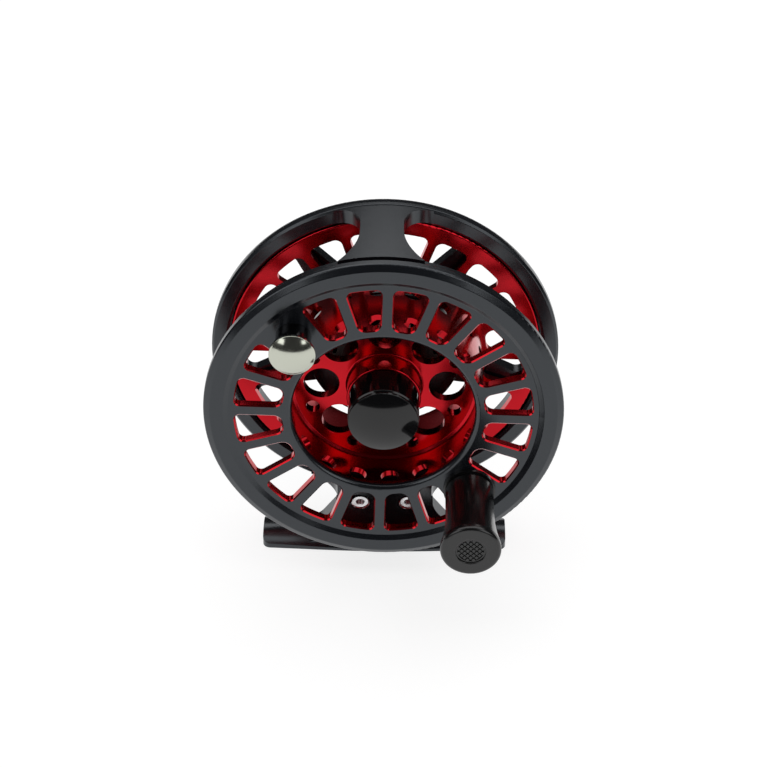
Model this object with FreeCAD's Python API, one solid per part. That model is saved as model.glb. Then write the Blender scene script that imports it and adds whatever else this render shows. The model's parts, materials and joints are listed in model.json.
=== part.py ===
"""Large-arbor fly reel: open-cage frame on a reel foot, ported spool, disc drag.

Row frame, millimetres: origin at the centre of the foot's flat base, +Z up, the reel's
axis along Y with the handle side towards -Y, and +X to the right of someone facing the handle.
Every turned piece is drawn with its axis on the reel's axis and lifted into place on export.
"""

import FreeCAD
import Part
import math
import os

V = FreeCAD.Vector
Y_AXIS = V(0, 1, 0)

# Whole reel
AXIS_HEIGHT = 52.0            # reel axis above the foot's base
RUNNING_GAP = 0.05            # radial clearance of everything that turns on a shaft

# Spool flanges
FRONT_RADIUS = 45.0           # front flange, also the palming rim
FRONT_FACE_Y = -15.3          # flat face that holds the windows
RIM_FACE_Y = -16.1            # raised rim round that face
FRONT_BACK_Y = -13.1
RIM_INNER_RADIUS = 40.1
REAR_RADIUS = 40.2
REAR_FRONT_Y = 12.0
REAR_BACK_Y = 14.0

# Windows in the flanges
WINDOW_COUNT = 20
WINDOW_FIRST_DEG = 7.23
WINDOW_EDGE = 0.3             # bevel round each front window
FRONT_SPOKE_WIDTH = 3.0
WINDOW_INNER_RADIUS = 25.6
WINDOW_OUTER_RADIUS = 37.24
REAR_SPOKE_WIDTH = 2.2
REAR_WINDOW_INNER_RADIUS = 26.2
REAR_WINDOW_OUTER_RADIUS = 36.3
HANDLE_SLOT = 17              # window position left solid for the handle
COUNTERWEIGHT_SLOT = 7        # window position left solid for the counterweight
KNOB_CIRCLE_RADIUS = 32.0     # handle and counterweight, from the reel's axis

# Arbor drum and web
DRUM_OUTER = 25.2
DRUM_INNER = 23.7
LIP_RADIUS = 22.9             # bore of the front flange
DRAIN_HOLE_RADIUS = 2.3
DRAIN_HOLE_COUNT = 18
DRAIN_HOLE_ROWS_Y = (-10.0, 2.7)
DRAIN_HOLE_FIRST_DEG = 13.7
WEB_FRONT_Y = -2.4
WEB_BACK_Y = 0.2
WEB_HOLE_COUNT = 8
WEB_HOLE_FIRST_DEG = -1.24
WEB_HOLE_RADIUS = 4.6
WEB_HOLE_CIRCLE = 15.9
WEB_PINHOLE_RADIUS = 1.8
WEB_PINHOLE_CIRCLE = 19.55
BOSS_RADIUS = 9.4
BOSS_FRONT_Y = -8.4
SPIGOT_RADIUS = 7.3
SPIGOT_FRONT_Y = -11.4
HUB_RADIUS = 11.2
HUB_BACK_Y = 9.4

# Cap over the end of the spindle
CAP_RADIUS = 8.95
CAP_FRONT_Y = -20.0

# Spool bearing
BEARING_OUTER_RADIUS = 6.5
BEARING_FRONT_Y = -11.3
BEARING_BACK_Y = -7.9
BALL_RADIUS = 0.75
BALL_CIRCLE = 4.8
BALL_COUNT = 8

# Spindle
SPINDLE_RADIUS = 3.0
SPINDLE_FRONT_Y = -13.4
THREAD_RADIUS = 2.5
SPINDLE_BACK_Y = 26.6
CATCH_GROOVE_Y = -12.0

# Cage frame
CAGE_INNER = 41.2
FRONT_RING_OUTER = 43.4
FRONT_RING_FRONT_Y = -12.1
FRONT_RING_BACK_Y = -9.7
REAR_RING_RADIUS = 44.8       # outside of the rear ring and of the pillars
REAR_RING_BORE = 40.6
REAR_RING_FRONT_Y = 11.5
PLATE_FRONT_Y = 14.8
PLATE_BACK_Y = 18.0
PLATE_RING_INNER = 36.8
PLATE_SPOKE_COUNT = 5
PLATE_SPOKE_FIRST_DEG = 54.0
SPOKE_ROOT = (18.0, 11.1)     # radius and width of a spoke inside the drag housing's wall
SPOKE_TIP = (38.5, 4.2)       # radius and width of a spoke inside the rear ring
SPOKE_SPLIT_RADII = (22.5, 34.5)
PILLAR_REAR_FLARE = 7.3       # radius of the sweep from a pillar to the rear ring
PILLAR_FRONT_FLARE = 18.0     # radius of the longer sweep towards the front ring
PILLAR_NECK_Y = 0.9
PILLAR_FRONT_Y = -11.7
TOP_PILLAR_HALF_WIDTH = 5.35
TOP_PILLAR_LEAN_DEG = 0.75
FOOT_PILLAR_HALF_WIDTH = 12.5

# Reel foot
FOOT_LENGTH = 64.5
FOOT_MIDDLE_Y = 0.5
FOOT_TIP_WIDTH = 11.6
FOOT_SWELL = 1.6              # how far the long sides run out before they are rounded over
FOOT_THICKNESS = 3.0
FOOT_CROWN_RADIUS = 11.6
SADDLE_HALF_LENGTH = 13.0
SADDLE_WIDTH = 11.0
SCREW_SPACING = 12.8

# Drag housing and what lies in it, from the cover at its mouth to its floor
HOUSING_RADIUS = 19.6
HOUSING_BORE = 17.0
HOUSING_MOUTH_Y = 10.0
HOUSING_FLOOR_Y = 17.0
HOUSING_BACK_Y = 19.0
KNOB_SEAT_Y = 19.8
KNOB_SEAT_RADIUS = 12.8
COVER_BACK_Y = 11.6
DISC_FRONT_Y = 12.65
DISC_BACK_Y = 14.15
DISC_RADIUS = 16.2
REAR_WASHER_BACK_Y = 15.2
PRESSURE_PLATE_BACK_Y = 16.4
SLEEVE_RADIUS = 5.0
SLEEVE_FRONT_Y = 2.4
BUSHING_RADIUS = 4.0
PUSH_PIN_CIRCLE = 7.5
PUSH_PIN_RADIUS = 1.2

# Drive hub and its lugs
DRIVE_RADIUS = 8.8
DRIVE_BORE = 7.0
DRIVE_FRONT_Y = 1.2
LUG_COUNT = 6
LUG_RADIUS = 10.2
LUG_WIDTH = 3.0
LUG_SLACK = 0.15

# Clicker
CLICK_TOOTH_COUNT = 24
CLICK_RADIUS = 13.6
CLICK_ROOT_RADIUS = 12.7
PAWL_PIVOT_RADIUS = 16.1

# Drag knob
KNOB_RADIUS = 13.0
KNOB_FRONT_Y = 20.0
KNOB_BACK_Y = 27.8
KNOB_SCALLOP_COUNT = 12
DETENT_COUNT = 24
DETENT_CIRCLE = 11.4

# Handle
GRIP_RADIUS = 6.15
GRIP_END_RADIUS = 7.6
GRIP_BACK_Y = -16.4
GRIP_FRONT_Y = -40.1
GRIP_RECESS_RADIUS = 3.75
GRIP_SEAT_RADIUS = 6.6
POST_RADIUS = 2.0
POST_HEAD_RADIUS = 3.3
POST_HEAD_BACK_Y = -34.7
POST_HEAD_FRONT_Y = -37.0

# Counterweight
STEM_RADIUS = 4.4
STEM_FRONT_Y = -21.6
MUSHROOM_RADIUS = 5.7


def polar(radius, degrees, y=0.0):
    """Point at a radius and angle about the reel's axis, seen from the handle side."""
    angle = math.radians(degrees)
    return V(radius * math.cos(angle), y, radius * math.sin(angle))


def turned(shape, degrees):
    """Copy of a shape turned counter-clockwise about the reel's axis, seen from the handle side."""
    copy = shape.copy()
    copy.rotate(V(0, 0, 0), Y_AXIS, -degrees)
    return copy


def moved(shape, vector):
    copy = shape.copy()
    copy.translate(vector)
    return copy


def rod(radius, y_start, y_end, centre=V(0, 0, 0)):
    """Cylinder along Y."""
    return Part.makeCylinder(radius, y_end - y_start, centre + V(0, y_start, 0), Y_AXIS)


def tube(outer, inner, y_start, y_end, centre=V(0, 0, 0)):
    return rod(outer, y_start, y_end, centre).cut(rod(inner, y_start, y_end, centre))


def block(x_range, y_range, z_range):
    corner = V(x_range[0], y_range[0], z_range[0])
    sizes = [high - low for low, high in (x_range, y_range, z_range)]
    return Part.makeBox(*sizes, corner)


def ring_of(tool, count, first_deg):
    """Copies of a tool, drawn at angle 0, evenly round the reel's axis."""
    return Part.makeCompound([turned(tool, first_deg + i * 360.0 / count) for i in range(count)])


def rounded_face(corners):
    """Face in the XY plane with corners (x, y, rounding), the rounding 0 where it is sharp."""
    points = [V(x, y, 0) for x, y, _ in corners]
    arrivals, departures, arcs = [], [], []
    for i, (_, _, rounding) in enumerate(corners):
        here = points[i]
        back = (points[i - 1] - here).normalize()
        ahead = (points[(i + 1) % len(points)] - here).normalize()
        if rounding == 0:
            arrivals.append(here)
            departures.append(here)
            arcs.append(None)
            continue
        half_angle = back.getAngle(ahead) / 2
        reach = rounding / math.tan(half_angle)
        inward = (back + ahead).normalize()
        middle = here + inward * (rounding / math.sin(half_angle) - rounding)
        arrivals.append(here + back * reach)
        departures.append(here + ahead * reach)
        arcs.append(Part.Arc(arrivals[i], middle, departures[i]).toShape())
    edges = []
    for i, arc in enumerate(arcs):
        start = departures[i - 1]
        if start.distanceToPoint(arrivals[i]) > 1e-6:
            edges.append(Part.makeLine(start, arrivals[i]))
        if arc:
            edges.append(arc)
    return Part.Face(Part.Wire(Part.__sortEdges__(edges)))


def spun(corners):
    """Solid of revolution about the Y axis, from corners (radius, y, rounding)."""
    return rounded_face(corners).revolve(V(0, 0, 0), Y_AXIS, 360)


def torus(ring_radius, wire_radius, y):
    return Part.makeTorus(ring_radius, wire_radius, V(0, y, 0), Y_AXIS)


def hexagon(corner_radius, y_start, y_end):
    points = [polar(corner_radius, 60 * i, y_start) for i in range(7)]
    return Part.Face(Part.makePolygon(points)).extrude(V(0, y_end - y_start, 0))


def edges_along_y(shape, test):
    """Straight edges along Y whose distance from the reel's axis passes the test."""
    chosen = []
    for edge in shape.Edges:
        if len(edge.Vertexes) != 2:
            continue
        start, end = (vertex.Point for vertex in edge.Vertexes)
        run = end - start
        if abs(run.y) > 0.99 * run.Length and test(math.hypot(start.x, start.z)):
            chosen.append(edge)
    return chosen


# ---------------------------------------------------------------- spool

def window_tool(spoke_width, inner, outer, y_start, y_end, inner_rounding, outer_rounding):
    """One window between two straight spokes, centred on angle 0, as a cutting tool."""
    half = math.radians(180.0 / WINDOW_COUNT)
    tip = V(spoke_width / 2 / math.sin(half), y_start, 0)
    reach = 2 * outer
    left = tip + V(reach * math.cos(half), 0, reach * math.sin(half))
    right = tip + V(reach * math.cos(half), 0, -reach * math.sin(half))
    wedge = Part.Face(Part.makePolygon([tip, left, right, tip])).extrude(V(0, y_end - y_start, 0))
    window = tube(outer, inner, y_start, y_end).common(wedge)
    middle = (inner + outer) / 2
    window = window.makeFillet(inner_rounding, edges_along_y(window, lambda r: r < middle))
    return window.makeFillet(outer_rounding, edges_along_y(window, lambda r: r > middle))


def slot_centre(slot):
    return polar(KNOB_CIRCLE_RADIUS, WINDOW_FIRST_DEG + slot * 360.0 / WINDOW_COUNT)


def spool_front_flange():
    """Front flange: raised rim, windows with broken edges, two solid seats for the knobs."""
    flange = spun([
        (LIP_RADIUS, FRONT_FACE_Y, 1.4),
        (RIM_INNER_RADIUS - 1.3, FRONT_FACE_Y, 0.5),
        (RIM_INNER_RADIUS, RIM_FACE_Y, 0.5),
        (FRONT_RADIUS - 1.7, RIM_FACE_Y, 0.6),
        (FRONT_RADIUS, -15.2, 0.6),
        (FRONT_RADIUS, FRONT_BACK_Y, 0.4),
        (LIP_RADIUS, FRONT_BACK_Y, 0),
    ])
    window = window_tool(
        FRONT_SPOKE_WIDTH, WINDOW_INNER_RADIUS, WINDOW_OUTER_RADIUS, -20, -10, 2.2, 1.4)
    for slot in range(WINDOW_COUNT):
        if slot not in (HANDLE_SLOT, COUNTERWEIGHT_SLOT):
            flange = flange.cut(turned(window, WINDOW_FIRST_DEG + slot * 360.0 / WINDOW_COUNT))
    rims = []
    for edge in flange.Edges:
        box = edge.BoundBox
        on_face = abs(box.YMin - FRONT_FACE_Y) < 0.01 and abs(box.YMax - FRONT_FACE_Y) < 0.01
        middle = edge.valueAt((edge.FirstParameter + edge.LastParameter) / 2)
        radius = math.hypot(middle.x, middle.z)
        if on_face and WINDOW_INNER_RADIUS - 0.1 < radius < WINDOW_OUTER_RADIUS + 0.1:
            rims.append(edge)
    flange = flange.makeChamfer(WINDOW_EDGE, rims)
    handle_at = slot_centre(HANDLE_SLOT)
    weight_at = slot_centre(COUNTERWEIGHT_SLOT)
    flange = flange.cut(rod(1.75, -20, -10, handle_at))
    flange = flange.cut(rod(1.3, -20, -10, weight_at))
    return flange.cut(rod(2.6, FRONT_BACK_Y - 1.0, -10, weight_at))


def spool_rear_flange():
    flange = spun([
        (DRUM_INNER, REAR_FRONT_Y, 0),
        (REAR_RADIUS, REAR_FRONT_Y, 0.5),
        (REAR_RADIUS, REAR_BACK_Y, 0.5),
        (DRUM_INNER, REAR_BACK_Y, 0.4),
    ])
    window = window_tool(
        REAR_SPOKE_WIDTH, REAR_WINDOW_INNER_RADIUS, REAR_WINDOW_OUTER_RADIUS, 10, 18, 2.4, 1.8)
    return flange.cut(ring_of(window, WINDOW_COUNT, WINDOW_FIRST_DEG))


def spool_drum():
    """Arbor that the line is wound on, with a row of drain holes on each side of the web."""
    drum = tube(DRUM_OUTER, DRUM_INNER, FRONT_BACK_Y, REAR_FRONT_Y)
    for row_y in DRAIN_HOLE_ROWS_Y:
        hole = Part.makeCylinder(DRAIN_HOLE_RADIUS, 10, V(20, row_y, 0), V(1, 0, 0))
        drum = drum.cut(ring_of(hole, DRAIN_HOLE_COUNT, DRAIN_HOLE_FIRST_DEG))
    return drum


def lug_bars(radius, width, y_start, y_end):
    bar = block((0, radius + 2), (y_start, y_end), (-width / 2, width / 2))
    bars = ring_of(bar, LUG_COUNT, 0)
    return bars.common(rod(radius, y_start, y_end))


def spool_web():
    """Web and hub: bearing seat in front, lug socket behind, ported between."""
    web = spun([
        (SPINDLE_RADIUS + 0.4, SPIGOT_FRONT_Y, 0),
        (SPIGOT_RADIUS, SPIGOT_FRONT_Y, 0.2),
        (SPIGOT_RADIUS, BOSS_FRONT_Y, 0),
        (BOSS_RADIUS, BOSS_FRONT_Y, 0.4),
        (BOSS_RADIUS, WEB_FRONT_Y, 0.6),
        (DRUM_INNER - 0.7, WEB_FRONT_Y, 0.3),
        (DRUM_INNER, WEB_FRONT_Y - 0.4, 0),
        (DRUM_INNER, WEB_BACK_Y, 0),
        (HUB_RADIUS, WEB_BACK_Y, 0.5),
        (HUB_RADIUS, HUB_BACK_Y, 0.4),
        (SPINDLE_RADIUS + 0.4, HUB_BACK_Y, 0),
    ])
    web = web.cut(rod(BEARING_OUTER_RADIUS, -20, BEARING_BACK_Y))
    web = web.cut(rod(DRIVE_RADIUS + 0.2, 0.9, 20))
    web = web.cut(lug_bars(LUG_RADIUS + LUG_SLACK, LUG_WIDTH + 2 * LUG_SLACK, 0.9, 20))
    port = rod(WEB_HOLE_RADIUS, WEB_FRONT_Y - 1, WEB_BACK_Y + 0.01, V(WEB_HOLE_CIRCLE, 0, 0))
    pinhole = rod(WEB_PINHOLE_RADIUS, WEB_FRONT_Y - 1, WEB_BACK_Y + 1, V(WEB_PINHOLE_CIRCLE, 0, 0))
    web = web.cut(ring_of(port, WEB_HOLE_COUNT, WEB_HOLE_FIRST_DEG))
    half_pitch = 180.0 / WEB_HOLE_COUNT
    return web.cut(ring_of(pinhole, WEB_HOLE_COUNT, WEB_HOLE_FIRST_DEG + half_pitch))


def spool_cap():
    """Hollow cap screwed on the hub's spigot, with a domed face and a fine groove behind it."""
    cap = spun([
        (SPIGOT_RADIUS, BOSS_FRONT_Y, 0),
        (CAP_RADIUS, BOSS_FRONT_Y, 0.3),
        (CAP_RADIUS, CAP_FRONT_Y + 3.2, 0.15),
        (CAP_RADIUS - 0.35, CAP_FRONT_Y + 2.9, 0),
        (CAP_RADIUS - 0.35, CAP_FRONT_Y + 2.6, 0),
        (CAP_RADIUS - 0.1, CAP_FRONT_Y + 2.35, 0.1),
        (CAP_RADIUS - 0.2, CAP_FRONT_Y + 1.9, 0.2),
        (4.4, CAP_FRONT_Y, 20.5),
        (0, CAP_FRONT_Y, 0),
        (0, -15.0, 0),
        (6.4, -15.0, 0.5),
        (6.4, -12.6, 0),
        (SPIGOT_RADIUS, -12.6, 0),
    ])
    return cap.cut(tube(8.1, SPIGOT_RADIUS - 0.1, BOSS_FRONT_Y - 0.9, BOSS_FRONT_Y))


def spool_catch_ring():
    """Open spring ring that snaps into the spindle's groove and holds the spool on."""
    ring = torus(2.95, 0.28, CATCH_GROOVE_Y)
    return ring.cut(block((0, 5), (-13, -11), (-0.6, 0.6)))


def catch_carrier():
    carrier = tube(SPIGOT_RADIUS, SPINDLE_RADIUS + 0.2, -12.6, SPIGOT_FRONT_Y)
    return carrier.cut(tube(3.7, 3.0, CATCH_GROOVE_Y - 0.35, CATCH_GROOVE_Y + 0.35))


def bearing_balls():
    ball = Part.makeSphere(BALL_RADIUS, V(BALL_CIRCLE, (BEARING_FRONT_Y + BEARING_BACK_Y) / 2, 0))
    return ring_of(ball, BALL_COUNT, 0)


def bearing_cage():
    middle = (BEARING_FRONT_Y + BEARING_BACK_Y) / 2
    cage = tube(5.15, 4.45, middle - 1.1, middle + 1.1)
    pocket = Part.makeCylinder(BALL_RADIUS + RUNNING_GAP, 3, V(3.5, middle, 0), V(1, 0, 0))
    return cage.cut(ring_of(pocket, BALL_COUNT, 0))


def click_ring():
    """Toothed ring pressed on the spool's hub, which the pawl clicks over."""
    ring = tube(CLICK_RADIUS, HUB_RADIUS, 7.6, 9.2)
    notch = block((CLICK_ROOT_RADIUS, 15), (7, 10), (-0.95, 0.95))
    return ring.cut(ring_of(notch, CLICK_TOOTH_COUNT, 0))


# ---------------------------------------------------------------- handle and counterweight

def handle_post():
    post = spun([
        (0, FRONT_BACK_Y, 0),
        (1.75, FRONT_BACK_Y, 0.2),
        (1.75, FRONT_FACE_Y, 0),
        (POST_RADIUS, FRONT_FACE_Y, 0),
        (POST_RADIUS, POST_HEAD_BACK_Y, 0),
        (POST_HEAD_RADIUS, POST_HEAD_BACK_Y, 0.2),
        (POST_HEAD_RADIUS, POST_HEAD_FRONT_Y, 0.4),
        (0, POST_HEAD_FRONT_Y, 0),
    ])
    return post.cut(hexagon(1.6, POST_HEAD_FRONT_Y - 1, POST_HEAD_FRONT_Y + 1.3))


def handle_grip():
    """Straight barrel that flares in one long sweep to a rounded end with a recess."""
    return spun([
        (POST_RADIUS + RUNNING_GAP, GRIP_BACK_Y, 0),
        (GRIP_RADIUS - 0.4, GRIP_BACK_Y, 0),
        (GRIP_RADIUS, GRIP_BACK_Y - 0.7, 0.3),
        (GRIP_RADIUS, GRIP_FRONT_Y + 8.1, 50.0),
        (GRIP_END_RADIUS, GRIP_FRONT_Y + 1.8, 0.5),
        (GRIP_END_RADIUS, GRIP_FRONT_Y, 1.0),
        (GRIP_RECESS_RADIUS, GRIP_FRONT_Y, 0.3),
        (GRIP_RECESS_RADIUS, GRIP_FRONT_Y + 1.1, 0),
        (3.4, GRIP_FRONT_Y + 1.1, 0),
        (3.4, POST_HEAD_BACK_Y + 0.1, 0),
        (POST_RADIUS + RUNNING_GAP, POST_HEAD_BACK_Y + 0.1, 0),
    ])


def handle_end_plug():
    """Disc in the end of the grip, cut across both ways into small square pads."""
    face = GRIP_FRONT_Y + 0.4
    seat = GRIP_FRONT_Y + 1.1
    plug = rod(GRIP_RECESS_RADIUS, face, seat).fuse(rod(3.4, seat, seat + 1.0))
    grooves = []
    for i in range(-3, 4):
        offset = 1.05 * i
        grooves.append(block((offset - 0.16, offset + 0.16), (face - 1, face + 0.3), (-5, 5)))
        grooves.append(block((-5, 5), (face - 1, face + 0.3), (offset - 0.16, offset + 0.16)))
    lattice = Part.makeCompound(grooves)
    lattice.rotate(V(0, 0, 0), Y_AXIS, 45)
    rim = tube(6, GRIP_RECESS_RADIUS - 0.4, face - 1, face + 1)
    return plug.removeSplitter().cut(lattice.cut(rim))


def counterweight_stem():
    stem = spun([
        (0, FRONT_FACE_Y, 0),
        (STEM_RADIUS, FRONT_FACE_Y, 0.2),
        (STEM_RADIUS, STEM_FRONT_Y, 0.2),
        (0, STEM_FRONT_Y, 0),
    ])
    return stem.cut(rod(1.3, -19.6, -10))


def counterweight_cap():
    """Thin-edged mushroom head with a domed face."""
    return spun([
        (0, STEM_FRONT_Y, 0),
        (MUSHROOM_RADIUS - 0.4, STEM_FRONT_Y, 0.2),
        (MUSHROOM_RADIUS, STEM_FRONT_Y - 0.4, 0.15),
        (MUSHROOM_RADIUS, STEM_FRONT_Y - 1.1, 0.15),
        (MUSHROOM_RADIUS - 0.35, STEM_FRONT_Y - 1.3, 0),
        (2.9, STEM_FRONT_Y - 2.9, 9.0),
        (0, STEM_FRONT_Y - 2.9, 0),
    ])


def counterweight_screw():
    screw = rod(1.3, -19.6, FRONT_BACK_Y).fuse(rod(2.6, FRONT_BACK_Y - 1.0, FRONT_BACK_Y))
    return screw.cut(hexagon(1.2, FRONT_BACK_Y - 0.8, FRONT_BACK_Y + 1))


# ---------------------------------------------------------------- spindle and drag

def spindle():
    """Fixed shaft: catch groove in front, shoulder on the housing floor, thread behind."""
    return spun([
        (0, SPINDLE_FRONT_Y, 0),
        (SPINDLE_RADIUS - 0.8, SPINDLE_FRONT_Y, 0),
        (SPINDLE_RADIUS, SPINDLE_FRONT_Y + 0.8, 0),
        (SPINDLE_RADIUS, CATCH_GROOVE_Y - 0.35, 0),
        (2.6, CATCH_GROOVE_Y - 0.35, 0),
        (2.6, CATCH_GROOVE_Y + 0.35, 0),
        (SPINDLE_RADIUS, CATCH_GROOVE_Y + 0.35, 0),
        (SPINDLE_RADIUS, 16.2, 0),
        (4.5, 16.2, 0),
        (4.5, HOUSING_FLOOR_Y, 0),
        (SPINDLE_RADIUS, HOUSING_FLOOR_Y, 0),
        (SPINDLE_RADIUS, KNOB_SEAT_Y, 0),
        (THREAD_RADIUS, KNOB_SEAT_Y, 0),
        (THREAD_RADIUS, SPINDLE_BACK_Y, 0.3),
        (0, SPINDLE_BACK_Y, 0),
    ])


def drag_cover():
    """Threaded ring that closes the housing's mouth, with three pin-spanner holes."""
    cover = tube(HOUSING_BORE, 5.4, HOUSING_MOUTH_Y, COVER_BACK_Y)
    cover = cover.cut(tube(6.1, 5.0, 10.3, 11.3))
    cover = cover.cut(ring_of(rod(1.0, 9, 10.9, V(11, 0, 0)), 3, 30))
    return cover.cut(rod(0.8, 9, 12, V(0, 0, PAWL_PIVOT_RADIUS)))


def drag_rotor():
    """Brake disc with a long sleeve that the one-way clutch grips."""
    rotor = tube(DISC_RADIUS, BUSHING_RADIUS, DISC_FRONT_Y, DISC_BACK_Y)
    sleeve = tube(SLEEVE_RADIUS, BUSHING_RADIUS, SLEEVE_FRONT_Y, DISC_FRONT_Y)
    return rotor.fuse(sleeve).removeSplitter()


def rotor_bushings():
    bore = SPINDLE_RADIUS + RUNNING_GAP
    front = tube(BUSHING_RADIUS, bore, SLEEVE_FRONT_Y + 0.1, SLEEVE_FRONT_Y + 3.1)
    rear = tube(BUSHING_RADIUS, bore, DISC_BACK_Y - 3.0, DISC_BACK_Y)
    return Part.makeCompound([front, rear])


def pressure_plate():
    """Plate that the push pins press on, with three ears that keep it from turning."""
    plate = tube(16.5, 5.3, REAR_WASHER_BACK_Y, PRESSURE_PLATE_BACK_Y)
    ear = block((16, 18), (REAR_WASHER_BACK_Y, PRESSURE_PLATE_BACK_Y), (-1.4, 1.4))
    return plate.fuse(ring_of(ear, 3, 90).common(rod(18, 0, 30))).removeSplitter()


def push_pins():
    return ring_of(rod(PUSH_PIN_RADIUS, PRESSURE_PLATE_BACK_Y, 20.6, V(PUSH_PIN_CIRCLE, 0, 0)), 3, 0)


def drag_springs():
    """Two cone washers stacked face to face between the push pins and the knob's nut."""
    cone = spun([(6.4, 21.5, 0), (8.9, 21.2, 0), (8.9, 21.5, 0), (6.4, 21.8, 0)])
    flipped = spun([(6.4, 21.8, 0), (8.9, 22.1, 0), (8.9, 22.4, 0), (6.4, 22.1, 0)])
    return Part.makeCompound([cone, flipped])


def drive_hub():
    """Cup over the clutch, closed in front round the spindle, with lugs that turn the spool."""
    hub = rod(DRIVE_RADIUS, DRIVE_FRONT_Y, HUB_BACK_Y)
    hub = hub.fuse(lug_bars(LUG_RADIUS, LUG_WIDTH, DRIVE_FRONT_Y, HUB_BACK_Y)).removeSplitter()
    hub = hub.cut(rod(DRIVE_BORE, 2.2, 20))
    return hub.cut(rod(SPINDLE_RADIUS + RUNNING_GAP, 0, 20))


def clutch_rollers():
    return ring_of(rod(0.47, 3.6, 8.2, V(5.51, 0, 0)), 10, 0)


# ---------------------------------------------------------------- clicker

def click_pawl():
    """Rocking pawl on a pin above the click ring, its nose just clear of the teeth."""
    pivot = V(0, 0, PAWL_PIVOT_RADIUS)
    body = rod(1.6, 7.8, 9.2, pivot)
    tip = CLICK_RADIUS + RUNNING_GAP
    nose = [V(-1.2, 7.8, 15.4), V(-0.35, 7.8, tip), V(0.35, 7.8, tip), V(1.2, 7.8, 15.4)]
    wedge = Part.Face(Part.makePolygon(nose + nose[:1])).extrude(V(0, 1.4, 0))
    pawl = body.fuse(wedge).removeSplitter()
    return pawl.cut(rod(0.8 + RUNNING_GAP, 7, 10, pivot))


def pawl_pin():
    pivot = V(0, 0, PAWL_PIVOT_RADIUS)
    return rod(0.8, 7.5, 11.4, pivot).fuse(rod(1.3, 7.2, 7.7, pivot)).removeSplitter()


def click_spring():
    """Flat leaf on a small post, lying just clear of the top of the pawl."""
    leaf = block((-6.5, 1.0), (7.9, 9.1), (17.8, 18.05))
    post = block((-7.5, -5.8), (7.9, HOUSING_MOUTH_Y), (16.2, 18.05))
    return leaf.fuse(post).removeSplitter()


# ---------------------------------------------------------------- drag knob

def drag_knob():
    """Scalloped knob behind the back plate, hollow in front for the springs."""
    knob = spun([
        (6.0, 23.4, 0),
        (9.8, 23.4, 0),
        (9.8, KNOB_FRONT_Y, 0),
        (KNOB_RADIUS - 0.2, KNOB_FRONT_Y, 0.2),
        (KNOB_RADIUS, 21.2, 0.5),
        (KNOB_RADIUS, KNOB_BACK_Y - 0.6, 1.2),
        (9.0, KNOB_BACK_Y, 0.5),
        (8.4, KNOB_BACK_Y - 0.8, 0.3),
        (6.0, KNOB_BACK_Y - 0.8, 0),
    ])
    scallop = rod(3.0, 21.6, 30, V(KNOB_RADIUS + 1.9, 0, 0))
    knob = knob.cut(ring_of(scallop, KNOB_SCALLOP_COUNT, 0))
    dimple = Part.makeSphere(0.8, V(DETENT_CIRCLE, KNOB_FRONT_Y - 0.5, 0))
    return knob.cut(ring_of(dimple, DETENT_COUNT, 0))


def knob_nut():
    """Brass nut pressed in the knob: runs on the spindle's thread and presses the springs."""
    return spun([
        (THREAD_RADIUS + RUNNING_GAP, 22.45, 0),
        (9.3, 22.45, 0.2),
        (9.3, 23.4, 0),
        (6.0, 23.4, 0),
        (6.0, KNOB_BACK_Y - 0.8, 0.3),
        (4.0, KNOB_BACK_Y - 0.8, 0),
        (4.0, SPINDLE_BACK_Y - 0.3, 0),
        (THREAD_RADIUS + RUNNING_GAP, SPINDLE_BACK_Y - 0.3, 0),
    ])


def knob_stop_screw():
    """Screw in the end of the spindle whose head keeps the nut from running off."""
    screw = spun([
        (0, SPINDLE_BACK_Y, 0),
        (3.6, SPINDLE_BACK_Y, 0.2),
        (3.6, KNOB_BACK_Y, 0.5),
        (0, KNOB_BACK_Y, 0),
    ])
    return screw.cut(hexagon(1.5, KNOB_BACK_Y - 0.8, KNOB_BACK_Y + 1))


def spindle_nut():
    nut = hexagon(5.2, KNOB_SEAT_Y, 21.9)
    return nut.cut(rod(THREAD_RADIUS, 19, 23))


def detent_spring():
    """Small coil spring under the detent ball."""
    wire = 0.14
    helix = Part.makeHelix(0.35, 0.7, 0.6)
    profile = Part.Wire(Part.makeCircle(wire, V(0.6, 0, 0), V(0, 1, 0)))
    coil = Part.Wire(helix).makePipeShell([profile], True, True)
    coil.rotate(V(0, 0, 0), V(1, 0, 0), -90)
    return moved(coil, polar(DETENT_CIRCLE, 0, 17.75))


# ---------------------------------------------------------------- cage frame

def back_window_tool():
    """One window of the back plate between two tapered spokes, centred on angle 0."""
    half_pitch = math.radians(180.0 / PLATE_SPOKE_COUNT)
    sides = []
    for radius, width in (SPOKE_ROOT, SPOKE_TIP):
        reach = math.hypot(radius, width / 2)
        angle = half_pitch - math.atan2(width / 2, radius)
        sides.append((reach * math.cos(angle), reach * math.sin(angle)))
    (x_root, z_root), (x_tip, z_tip) = sides
    outline = [
        V(x_root, PLATE_FRONT_Y, z_root),
        V(x_tip, PLATE_FRONT_Y, z_tip),
        V(60, PLATE_FRONT_Y, 0),
        V(x_tip, PLATE_FRONT_Y, -z_tip),
        V(x_root, PLATE_FRONT_Y, -z_root),
    ]
    wedge = Part.Face(Part.makePolygon(outline + outline[:1]))
    wedge = wedge.extrude(V(0, PLATE_BACK_Y - PLATE_FRONT_Y, 0))
    window = tube(PLATE_RING_INNER, HOUSING_RADIUS, PLATE_FRONT_Y, PLATE_BACK_Y).common(wedge)
    return window.makeFillet(2.0, edges_along_y(window, lambda r: True))


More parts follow.
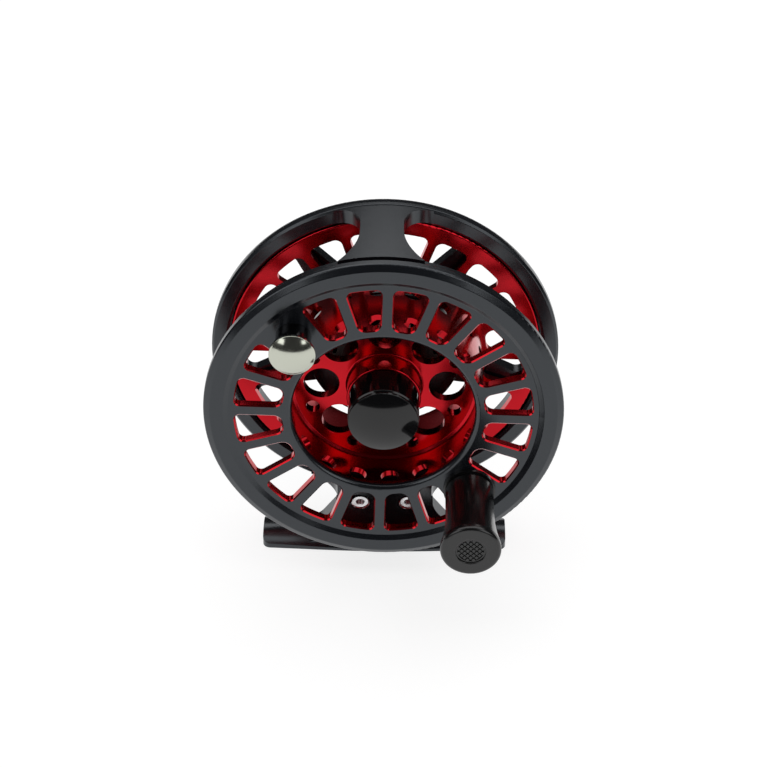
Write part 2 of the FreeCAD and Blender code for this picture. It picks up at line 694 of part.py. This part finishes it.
def rear_blank():
    """Rear ring, five tapered spokes and the drag housing, turned and milled in one piece."""
    overlap = PLATE_RING_INNER + 1.0
    ring = spun([
        (REAR_RING_BORE, REAR_RING_FRONT_Y + 0.7, 0.2),
        (REAR_RING_BORE + 0.7, REAR_RING_FRONT_Y, 0.2),
        (REAR_RING_RADIUS - 0.6, REAR_RING_FRONT_Y, 0.2),
        (REAR_RING_RADIUS, REAR_RING_FRONT_Y + 0.6, 0.2),
        (REAR_RING_RADIUS, PLATE_BACK_Y, 4.85),
        (overlap, PLATE_BACK_Y, 0),
        (overlap, PLATE_FRONT_Y, 0),
        (REAR_RING_BORE, PLATE_FRONT_Y, 0),
    ])
    plate = tube(overlap, SPOKE_ROOT[0], PLATE_FRONT_Y, PLATE_BACK_Y)
    half_pitch = 180.0 / PLATE_SPOKE_COUNT
    windows = ring_of(back_window_tool(), PLATE_SPOKE_COUNT, PLATE_SPOKE_FIRST_DEG + half_pitch)
    housing = spun([
        (SPINDLE_RADIUS, HOUSING_FLOOR_Y, 0),
        (HOUSING_BORE, HOUSING_FLOOR_Y, 0),
        (HOUSING_BORE, HOUSING_MOUTH_Y, 0),
        (HOUSING_RADIUS, HOUSING_MOUTH_Y, 0.6),
        (HOUSING_RADIUS, HOUSING_BACK_Y, 0.6),
        (KNOB_SEAT_RADIUS, HOUSING_BACK_Y, 0),
        (KNOB_SEAT_RADIUS, KNOB_SEAT_Y, 0.3),
        (SPINDLE_RADIUS, KNOB_SEAT_Y, 0),
    ])
    blank = ring.fuse(plate.cut(windows)).fuse(housing).removeSplitter()
    blank = blank.cut(ring_of(rod(PUSH_PIN_RADIUS, 16, 21, V(PUSH_PIN_CIRCLE, 0, 0)), 3, 0))
    blank = blank.cut(rod(0.8, 17.6, 21, V(DETENT_CIRCLE, 0, 0)))
    groove = block((16, 18.2), (COVER_BACK_Y, HOUSING_FLOOR_Y), (-1.5, 1.5))
    return blank.cut(ring_of(groove, 3, 90))


def frame_front_ring():
    return spun([
        (CAGE_INNER, FRONT_RING_FRONT_Y, 0.3),
        (FRONT_RING_OUTER, FRONT_RING_FRONT_Y, 0.3),
        (FRONT_RING_OUTER, FRONT_RING_BACK_Y, 0),
        (CAGE_INNER, FRONT_RING_BACK_Y, 0.3),
    ])


def pillar(half_width, upward):
    """Strip of the cage's shell between the rings, lapping over the front ring."""
    front, back = PILLAR_FRONT_Y, REAR_RING_FRONT_Y
    run = PILLAR_NECK_Y - front
    half_turn = math.asin(run / PILLAR_FRONT_FLARE) / 2
    front_reach = PILLAR_FRONT_FLARE * (1 - math.cos(2 * half_turn))
    rear_bend = PILLAR_REAR_FLARE * (1 - math.sqrt(0.5))
    edges = []
    for side in (-1, 1):
        corner_front = V(side * (half_width + front_reach), front, 0)
        middle_front = V(
            side * (half_width + PILLAR_FRONT_FLARE * (1 - math.cos(half_turn))),
            PILLAR_NECK_Y - PILLAR_FRONT_FLARE * math.sin(half_turn), 0)
        neck_front = V(side * half_width, PILLAR_NECK_Y, 0)
        neck_back = V(side * half_width, back - PILLAR_REAR_FLARE, 0)
        middle_back = V(side * (half_width + rear_bend), back - rear_bend, 0)
        corner_back = V(side * (half_width + PILLAR_REAR_FLARE), back, 0)
        edges.append(Part.Arc(corner_front, middle_front, neck_front).toShape())
        edges.append(Part.makeLine(neck_front, neck_back))
        edges.append(Part.Arc(neck_back, middle_back, corner_back).toShape())
    wide_front = half_width + front_reach
    wide_back = half_width + PILLAR_REAR_FLARE
    edges.append(Part.makeLine(V(-wide_front, front, 0), V(wide_front, front, 0)))
    edges.append(Part.makeLine(V(-wide_back, back, 0), V(wide_back, back, 0)))
    plan = Part.Face(Part.Wire(Part.__sortEdges__(edges)))
    height = 60 if upward else -60
    shell = tube(REAR_RING_RADIUS, CAGE_INNER, FRONT_RING_BACK_Y, back)
    lap = tube(REAR_RING_RADIUS, FRONT_RING_OUTER, front, FRONT_RING_BACK_Y)
    return shell.fuse(lap).removeSplitter().common(plan.extrude(V(0, 0, height)))


def screw_places():
    return [V(side * SCREW_SPACING / 2, FOOT_MIDDLE_Y, 0) for side in (-1, 1)]


def foot_screw_hole(place, z_low):
    """Clearance for one foot screw: shank hole with a counterbore for its head."""
    shank = Part.makeCylinder(1.5, -39 - z_low, place + V(0, 0, z_low))
    head = Part.makeCylinder(2.8, 4, place + V(0, 0, -42.3))
    return shank.fuse(head)


def frame_foot_pillar():
    strip = pillar(FOOT_PILLAR_HALF_WIDTH, upward=False)
    for place in screw_places():
        strip = strip.cut(foot_screw_hole(place, -50))
    return strip


def reel_foot():
    """Foot with a flat base, a crowned top and rounded ends, and a saddle under the cage."""
    base = -AXIS_HEIGHT
    tip = FOOT_LENGTH / 2
    half = FOOT_TIP_WIDTH / 2
    outline = rounded_face([
        (-tip, -half, 2.0),
        (0, -half - FOOT_SWELL, 300.0),
        (tip, -half, 2.0),
        (tip, half, 2.0),
        (0, half + FOOT_SWELL, 300.0),
        (-tip, half, 2.0),
    ])
    wings = moved(outline.extrude(V(0, 0, FOOT_THICKNESS)), V(0, FOOT_MIDDLE_Y, base))
    crown_centre = V(-tip - 1, FOOT_MIDDLE_Y, base + FOOT_THICKNESS - FOOT_CROWN_RADIUS)
    crown = Part.makeCylinder(FOOT_CROWN_RADIUS, FOOT_LENGTH + 2, crown_centre, V(1, 0, 0))
    wings = wings.common(crown)
    saddle = SADDLE_HALF_LENGTH
    side = rounded_face([
        (-saddle - 10.0, base + 0.5, 0),
        (saddle + 10.0, base + 0.5, 0),
        (saddle + 4.5, base + 2.6, 8.0),
        (saddle, -43.4, 0),
        (saddle - 1.0, -39.0, 0),
        (-saddle + 1.0, -39.0, 0),
        (-saddle, -43.4, 0),
        (-saddle - 4.5, base + 2.6, 8.0),
    ])
    side.rotate(V(0, 0, 0), V(1, 0, 0), 90)
    middle = side.extrude(V(0, -SADDLE_WIDTH, 0))
    foot = wings.fuse(moved(middle, V(0, FOOT_MIDDLE_Y + SADDLE_WIDTH / 2, 0))).removeSplitter()
    foot = foot.cut(rod(REAR_RING_RADIUS, -20, 20))
    for place in screw_places():
        foot = foot.cut(Part.makeCylinder(1.5, 10, place + V(0, 0, -49)))
    return foot


def foot_screws():
    """Two button-head screws, from inside the cage down into the foot."""
    screws = []
    for place in screw_places():
        shank = Part.makeCylinder(1.5, 7, place + V(0, 0, -49))
        head = Part.makeCylinder(2.7, 1.5, place + V(0, 0, -42.3))
        head = head.makeFillet(0.6, [head.Edges[0]])
        socket = Part.makeCylinder(1.2, 1.0, place + V(0, 0, -41.7))
        screws.append(shank.fuse(head).removeSplitter().cut(socket))
    return Part.makeCompound(screws)


# ---------------------------------------------------------------- all nodes

def build():
    blank = rear_blank()
    spoke_root, spoke_tip = SPOKE_SPLIT_RADII
    handle_at = slot_centre(HANDLE_SLOT)
    weight_at = slot_centre(COUNTERWEIGHT_SLOT)
    bearing_bore = SPINDLE_RADIUS + RUNNING_GAP
    return {
        "frame_rear_ring": blank.common(tube(50, spoke_tip, 0, 30)),
        "frame_back_spokes": blank.common(tube(spoke_tip, spoke_root, 0, 30)),
        "drag_housing": blank.common(rod(spoke_root, 0, 30)),
        "frame_front_ring": frame_front_ring(),
        "frame_top_pillar": turned(pillar(TOP_PILLAR_HALF_WIDTH, upward=True), TOP_PILLAR_LEAN_DEG),
        "frame_foot_pillar": frame_foot_pillar(),
        "reel_foot": reel_foot(),
        "foot_screws": foot_screws(),
        "spindle": spindle(),
        "spindle_nut": spindle_nut(),
        "drag_cover": drag_cover(),
        "cover_seal": torus(5.6, 0.5, 10.8),
        "drag_washer_front": tube(16.0, 6.5, COVER_BACK_Y, DISC_FRONT_Y - RUNNING_GAP),
        "drag_washer_rear": tube(16.0, 6.5, DISC_BACK_Y + RUNNING_GAP, REAR_WASHER_BACK_Y),
        "pressure_plate": pressure_plate(),
        "push_pins": push_pins(),
        "thrust_washer": tube(9.0, 6.4, 20.6, 21.2),
        "drag_springs": drag_springs(),
        "detent_ball": Part.makeSphere(0.78, polar(DETENT_CIRCLE, 0, KNOB_FRONT_Y - 0.83)),
        "detent_spring": detent_spring(),
        "knob_stop_screw": knob_stop_screw(),
        "pawl_pin": pawl_pin(),
        "click_spring": click_spring(),
        "click_pawl": click_pawl(),
        "drag_knob": drag_knob(),
        "knob_nut": knob_nut(),
        "drag_rotor": drag_rotor(),
        "rotor_bushings": rotor_bushings(),
        "drive_hub": drive_hub(),
        "one_way_clutch": tube(DRIVE_BORE, 6.0, 2.8, 9.0),
        "clutch_rollers": clutch_rollers(),
        "spool_front_flange": spool_front_flange(),
        "spool_drum": spool_drum(),
        "spool_web": spool_web(),
        "spool_rear_flange": spool_rear_flange(),
        "spool_cap": spool_cap(),
        "cap_seal": torus(7.7, 0.4, BOSS_FRONT_Y - 0.45),
        "catch_carrier": catch_carrier(),
        "spool_catch_ring": spool_catch_ring(),
        "bearing_outer_race": tube(BEARING_OUTER_RADIUS, 5.6, BEARING_FRONT_Y, BEARING_BACK_Y),
        "bearing_inner_race": tube(4.0, bearing_bore, BEARING_FRONT_Y, BEARING_BACK_Y),
        "bearing_balls": bearing_balls(),
        "bearing_cage": bearing_cage(),
        "click_ring": click_ring(),
        "handle_post": moved(handle_post(), handle_at),
        "handle_seat": tube(GRIP_SEAT_RADIUS, POST_RADIUS, GRIP_BACK_Y + 0.05, FRONT_FACE_Y, handle_at),
        "handle_grip": moved(handle_grip(), handle_at),
        "handle_end_plug": moved(handle_end_plug(), handle_at),
        "counterweight_stem": moved(counterweight_stem(), weight_at),
        "counterweight_cap": moved(counterweight_cap(), weight_at),
        "counterweight_screw": moved(counterweight_screw(), weight_at),
    }


os.makedirs("parts", exist_ok=True)
for node, shape in build().items():
    lifted = moved(shape, V(0, 0, AXIS_HEIGHT))
    lifted.exportStep("parts/" + node + ".step")
    print(node, len(lifted.Solids), "solids", round(lifted.Volume, 1), "mm3", lifted.isValid())
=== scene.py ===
"""Looks of the fly reel: materials, studio light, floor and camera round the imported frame."""

import json
import math

import bpy
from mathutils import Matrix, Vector


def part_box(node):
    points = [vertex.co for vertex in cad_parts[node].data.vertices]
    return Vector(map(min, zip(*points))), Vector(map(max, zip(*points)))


MM = 0.001

# Camera: long lens, looking down on the handle side
TARGET = Vector((-0.08, 0.0, 50.4)) * MM
DISTANCE = 590.6 * MM
AZIMUTH = math.radians(0.86)
ELEVATION = math.radians(36.32)
SENSOR = 36.0
LENS = 108.55

# Front flange, in millimetres from the reel's axis
WINDOW_ZONE = (24.7, 38.2)
BOWL_WALL_RADIUS = 23.0
LIP_BACK_Y = -13.85
RED_BACK_RADIUS = 43.0
FLAT_FRONT = -0.98            # a face whose normal's Y is below this is part of the flat front

# Floor, room and lamps, in metres; a lamp's radiance is what a mirror would show of it
FLOOR_SIZE = 0.80
FLOOR_DROP = 0.02 * MM
FLOOR_GLOW = 0.80
ROOM_GREY = 0.04
OVERHEAD_Y = 0.52
OVERHEAD_HEIGHT = 1.05
OVERHEAD_SIZE = (1.8, 1.94)
OVERHEAD_RADIANCE = 1.45
PANEL_X = 0.72
PANEL_Y = -0.68
PANEL_HEIGHT = 0.62
PANEL_SIZE = (0.70, 0.70)
PANEL_RADIANCE = 1.6

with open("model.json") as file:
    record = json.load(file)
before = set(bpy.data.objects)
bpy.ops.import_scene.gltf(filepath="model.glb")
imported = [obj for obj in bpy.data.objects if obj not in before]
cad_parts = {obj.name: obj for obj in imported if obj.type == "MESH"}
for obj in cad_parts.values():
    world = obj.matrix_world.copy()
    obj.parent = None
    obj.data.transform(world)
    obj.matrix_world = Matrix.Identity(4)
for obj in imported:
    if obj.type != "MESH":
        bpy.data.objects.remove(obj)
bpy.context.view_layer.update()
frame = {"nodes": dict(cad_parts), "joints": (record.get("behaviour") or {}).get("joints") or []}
AXIS = Vector(next(j["pos_m"] for j in frame["joints"] if j["name"] == "drag_slip"))


# ---------------------------------------------------------------- materials

class Shader:
    """A Principled material with its nodes added one at a time."""

    def __init__(self, name, colour, metallic, roughness):
        self.material = bpy.data.materials.new(name)
        self.material.use_nodes = True
        self.tree = self.material.node_tree
        self.surface = self.tree.nodes["Principled BSDF"]
        self.colour = (*colour, 1.0)
        self.surface.inputs["Base Color"].default_value = self.colour
        self.surface.inputs["Metallic"].default_value = metallic
        self.surface.inputs["Roughness"].default_value = roughness
        self.roughness = roughness
        self.normal = None
        self.place = self.node("ShaderNodeTexCoord").outputs["Object"]

    def node(self, kind, **values):
        made = self.tree.nodes.new(kind)
        for key, value in values.items():
            setattr(made, key, value)
        return made

    def feed(self, socket, value):
        if hasattr(value, "links"):
            self.tree.links.new(value, socket)
        else:
            socket.default_value = value

    def math(self, operation, *values):
        made = self.node("ShaderNodeMath", operation=operation)
        for socket, value in zip(made.inputs, values):
            self.feed(socket, value)
        return made.outputs[0]

    def noise(self, scale, detail=2.0):
        made = self.node("ShaderNodeTexNoise")
        made.inputs["Scale"].default_value = scale
        made.inputs["Detail"].default_value = detail
        self.feed(made.inputs["Vector"], self.place)
        return made.outputs[0]

    def spread(self, factor, low, high):
        """Takes the middle of a noise to the range from low to high."""
        made = self.node("ShaderNodeMapRange")
        self.feed(made.inputs["Value"], factor)
        made.inputs["From Min"].default_value = 0.3
        made.inputs["From Max"].default_value = 0.7
        made.inputs["To Min"].default_value = low
        made.inputs["To Max"].default_value = high
        return made.outputs[0]

    def radius(self, centre):
        """Distance from a line along Y through centre."""
        apart = self.node("ShaderNodeSeparateXYZ")
        self.feed(apart.inputs[0], self.place)
        x = self.math("SUBTRACT", apart.outputs["X"], centre.x)
        z = self.math("SUBTRACT", apart.outputs["Z"], centre.z)
        square = self.math("ADD", self.math("MULTIPLY", x, x), self.math("MULTIPLY", z, z))
        return self.math("SQRT", square)

    def turning_marks(self, centre, spacing, depth):
        """Fine rings left by the lathe, uneven in height, about a line along Y."""
        made = self.node("ShaderNodeTexNoise", noise_dimensions="1D")
        apart = self.node("ShaderNodeSeparateXYZ")
        self.feed(apart.inputs[0], self.place)
        along = self.math("ADD", self.radius(centre), apart.outputs["Y"])
        self.feed(made.inputs["W"], along)
        made.inputs["Scale"].default_value = 1.0 / spacing
        made.inputs["Detail"].default_value = 3.0
        self.bump(made.outputs[0], depth)

    def bump(self, height, depth):
        made = self.node("ShaderNodeBump")
        made.inputs["Strength"].default_value = 1.0
        made.inputs["Distance"].default_value = depth
        self.feed(made.inputs["Height"], height)
        if self.normal:
            self.feed(made.inputs["Normal"], self.normal)
        self.normal = made.outputs["Normal"]
        self.feed(self.surface.inputs["Normal"], self.normal)

    def uneven_roughness(self, scale, change):
        value = self.spread(self.noise(scale), self.roughness - change, self.roughness + change)
        self.feed(self.surface.inputs["Roughness"], value)

    def uneven_colour(self, scale, share):
        """Colour that drifts by a small share of itself."""
        mix = self.node("ShaderNodeMix", data_type="RGBA")
        self.feed(mix.inputs["Factor"], self.spread(self.noise(scale), 0.0, 1.0))
        mix.inputs[6].default_value = (*(c * (1 - share) for c in self.colour[:3]), 1.0)
        mix.inputs[7].default_value = (*(c * (1 + share) for c in self.colour[:3]), 1.0)
        self.feed(self.surface.inputs["Base Color"], mix.outputs[2])


def satin_anodised(name, colour, roughness):
    """Fine blasted and anodised aluminium: a dark dyed skin that mirrors softly."""
    shader = Shader(name, colour, 0.0, roughness)
    shader.surface.inputs["IOR"].default_value = 1.62
    shader.surface.inputs["Specular Tint"].default_value = (0.88, 0.94, 1.0, 1.0)
    shader.uneven_colour(90, 0.08)
    shader.uneven_roughness(220, 0.02)
    shader.turning_marks(AXIS, 0.35 * MM, 0.0003 * MM)
    shader.bump(shader.noise(9000, 1.0), 0.0006 * MM)
    return shader.material


def bright_anodised(name, colour, roughness):
    """Bright dipped and anodised aluminium: the metal shines through the dye."""
    shader = Shader(name, colour, 1.0, roughness)
    shader.surface.inputs["Coat Weight"].default_value = 0.08
    shader.surface.inputs["Coat Roughness"].default_value = 0.12
    shader.surface.inputs["Coat IOR"].default_value = 1.6
    shader.uneven_colour(60, 0.10)
    shader.uneven_roughness(300, 0.03)
    shader.turning_marks(AXIS, 0.35 * MM, 0.0008 * MM)
    return shader.material


def gloss_black(name, colour, roughness, index):
    shader = Shader(name, colour, 0.0, roughness)
    shader.surface.inputs["IOR"].default_value = index
    shader.uneven_roughness(160, 0.02)
    shader.bump(shader.noise(700, 2.0), 0.0010 * MM)
    return shader.material


def polished_steel():
    shader = Shader("polished_steel", (0.52, 0.535, 0.46), 1.0, 0.15)
    shader.uneven_roughness(400, 0.03)
    centre = sum(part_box("counterweight_cap"), Vector()) / 2
    shader.turning_marks(centre, 0.3 * MM, 0.0006 * MM)
    return shader.material


def smoked_steel():
    """Polished steel under a thin dark coating."""
    shader = Shader("smoked_steel", (0.11, 0.11, 0.115), 1.0, 0.16)
    shader.uneven_roughness(400, 0.03)
    return shader.material


def plain_steel():
    shader = Shader("turned_steel", (0.60, 0.60, 0.61), 1.0, 0.24)
    shader.uneven_roughness(500, 0.06)
    shader.bump(shader.noise(2500, 2.0), 0.002 * MM)
    return shader.material


def blackened_steel():
    shader = Shader("blackened_steel", (0.030, 0.028, 0.027), 1.0, 0.34)
    shader.uneven_roughness(500, 0.05)
    shader.uneven_colour(250, 0.25)
    shader.bump(shader.noise(3000, 2.0), 0.002 * MM)
    return shader.material


def turned_brass():
    shader = Shader("turned_brass", (0.62, 0.42, 0.15), 1.0, 0.25)
    shader.uneven_roughness(400, 0.05)
    shader.uneven_colour(120, 0.12)
    shader.turning_marks(AXIS, 0.4 * MM, 0.002 * MM)
    return shader.material


def carbon_weave():
    """Twill of carbon tows under resin."""
    shader = Shader("carbon_weave", (0.02, 0.02, 0.022), 0.2, 0.35)
    wave = shader.node("ShaderNodeTexWave", wave_type="BANDS", bands_direction="DIAGONAL")
    shader.feed(wave.inputs["Vector"], shader.place)
    wave.inputs["Scale"].default_value = 180.0
    shader.bump(wave.outputs["Fac"], 0.03 * MM)
    shader.uneven_roughness(300, 0.08)
    return shader.material


def nitrile_rubber():
    shader = Shader("nitrile_rubber", (0.018, 0.018, 0.018), 0.0, 0.55)
    shader.uneven_roughness(200, 0.06)
    shader.bump(shader.noise(1800, 3.0), 0.01 * MM)
    return shader.material


grey = satin_anodised("grey_anodised", (0.0055, 0.0063, 0.0085), 0.20)
dark = satin_anodised("dark_anodised", (0.0040, 0.0040, 0.0044), 0.22)
red = bright_anodised("red_anodised", (0.46, 0.007, 0.014), 0.18)
cap_black = gloss_black("cap_black", (0.003, 0.003, 0.0035), 0.10, 1.47)
grip_black = gloss_black("grip_black", (0.0035, 0.0035, 0.0038), 0.22, 1.55)
silver = polished_steel()
smoked = smoked_steel()
steel = plain_steel()
black_steel = blackened_steel()
brass = turned_brass()
carbon = carbon_weave()
rubber = nitrile_rubber()

NODE_MATERIAL = {
    "frame_rear_ring": grey,
    "frame_back_spokes": grey,
    "drag_housing": grey,
    "frame_front_ring": grey,
    "frame_top_pillar": grey,
    "frame_foot_pillar": grey,
    "reel_foot": grey,
    "drag_cover": dark,
    "drive_hub": dark,
    "drag_knob": dark,
    "spool_drum": red,
    "spool_web": red,
    "spool_rear_flange": red,
    "spool_cap": cap_black,
    "counterweight_stem": smoked,
    "handle_grip": grip_black,
    "handle_end_plug": grip_black,
    "handle_seat": grip_black,
    "cap_seal": rubber,
    "cover_seal": rubber,
    "counterweight_cap": silver,
    "knob_nut": brass,
    "rotor_bushings": brass,
    "click_ring": black_steel,
    "click_pawl": black_steel,
    "bearing_cage": brass,
    "drag_washer_front": carbon,
    "drag_washer_rear": carbon,
}


def flange_finish(polygon):
    """0, grey, on the machined front and rim; 1, red, on everything cut after that."""
    centre = polygon.center - AXIS
    radius = math.hypot(centre.x, centre.z) / MM
    in_window = WINDOW_ZONE[0] < radius < WINDOW_ZONE[1] and polygon.normal.y > FLAT_FRONT
    in_bowl = radius < BOWL_WALL_RADIUS and centre.y > LIP_BACK_Y * MM
    on_back = polygon.normal.y > 0.5 and radius < RED_BACK_RADIUS
    return int(in_window or in_bowl or on_back)


for name, node in frame["nodes"].items():
    node.data.materials.clear()
    node.data.materials.append(NODE_MATERIAL.get(name, steel))
flange = frame["nodes"]["spool_front_flange"]
flange.data.materials.clear()
flange.data.materials.append(grey)
flange.data.materials.append(red)
for polygon in flange.data.polygons:
    polygon.material_index = flange_finish(polygon)


# ---------------------------------------------------------------- floor, light, camera

def pale_floor():
    bpy.ops.mesh.primitive_plane_add(size=FLOOR_SIZE, location=(0.0, 0.0, -FLOOR_DROP))
    floor = bpy.context.object
    floor.name = "floor"
    shader = Shader("pale_floor", (0.30, 0.30, 0.30), 0.0, 0.6)
    shader.surface.inputs["Specular IOR Level"].default_value = 0.1
    shader.surface.inputs["Emission Color"].default_value = (1, 1, 1, 1)
    shader.surface.inputs["Emission Strength"].default_value = FLOOR_GLOW
    shader.uneven_colour(3, 0.01)
    floor.data.materials.append(shader.material)


def softbox(name, place, aim, size, radiance):
    """Evenly lit rectangle, seen in reflections but not by the camera."""
    data = bpy.data.lights.new(name, "AREA")
    data.shape = "RECTANGLE"
    data.size, data.size_y = size
    data.energy = radiance * math.pi * size[0] * size[1]
    lamp = bpy.data.objects.new(name, data)
    bpy.context.scene.collection.objects.link(lamp)
    lamp.location = place
    lamp.rotation_euler = (Vector(aim) - Vector(place)).to_track_quat("-Z", "Y").to_euler()
    lamp.visible_camera = False


def studio_world():
    """Dim room behind the lamps, with a white backdrop where the camera looks past the floor."""
    world = bpy.data.worlds.new("studio")
    bpy.context.scene.world = world
    world.use_nodes = True
    nodes, links = world.node_tree.nodes, world.node_tree.links
    mix = nodes.new("ShaderNodeMix")
    mix.data_type = "RGBA"
    mix.inputs[6].default_value = (ROOM_GREY, ROOM_GREY, ROOM_GREY, 1)
    mix.inputs[7].default_value = (1, 1, 1, 1)
    links.new(nodes.new("ShaderNodeLightPath").outputs["Is Camera Ray"], mix.inputs["Factor"])
    links.new(mix.outputs[2], nodes["Background"].inputs["Color"])


def camera():
    data = bpy.data.cameras.new("camera")
    data.sensor_width = SENSOR
    data.lens = LENS
    data.clip_start = 0.01
    seen = bpy.data.objects.new("camera", data)
    bpy.context.scene.collection.objects.link(seen)
    flat = math.cos(ELEVATION)
    back = Vector((math.sin(AZIMUTH) * flat, -math.cos(AZIMUTH) * flat, math.sin(ELEVATION)))
    seen.location = TARGET + back * DISTANCE
    seen.rotation_euler = (math.pi / 2 - ELEVATION, 0.0, AZIMUTH)
    bpy.context.scene.camera = seen


pale_floor()
studio_world()
softbox(
    "overhead", (0.0, OVERHEAD_Y, OVERHEAD_HEIGHT), (0.0, OVERHEAD_Y, 0.0),
    OVERHEAD_SIZE, OVERHEAD_RADIANCE)
for side in (-1, 1):
    softbox(
        "front_panel", (side * PANEL_X, PANEL_Y, PANEL_HEIGHT), (0.0, 0.0, PANEL_HEIGHT),
        PANEL_SIZE, PANEL_RADIANCE)
camera()
bpy.context.scene.view_settings.view_transform = "Standard"
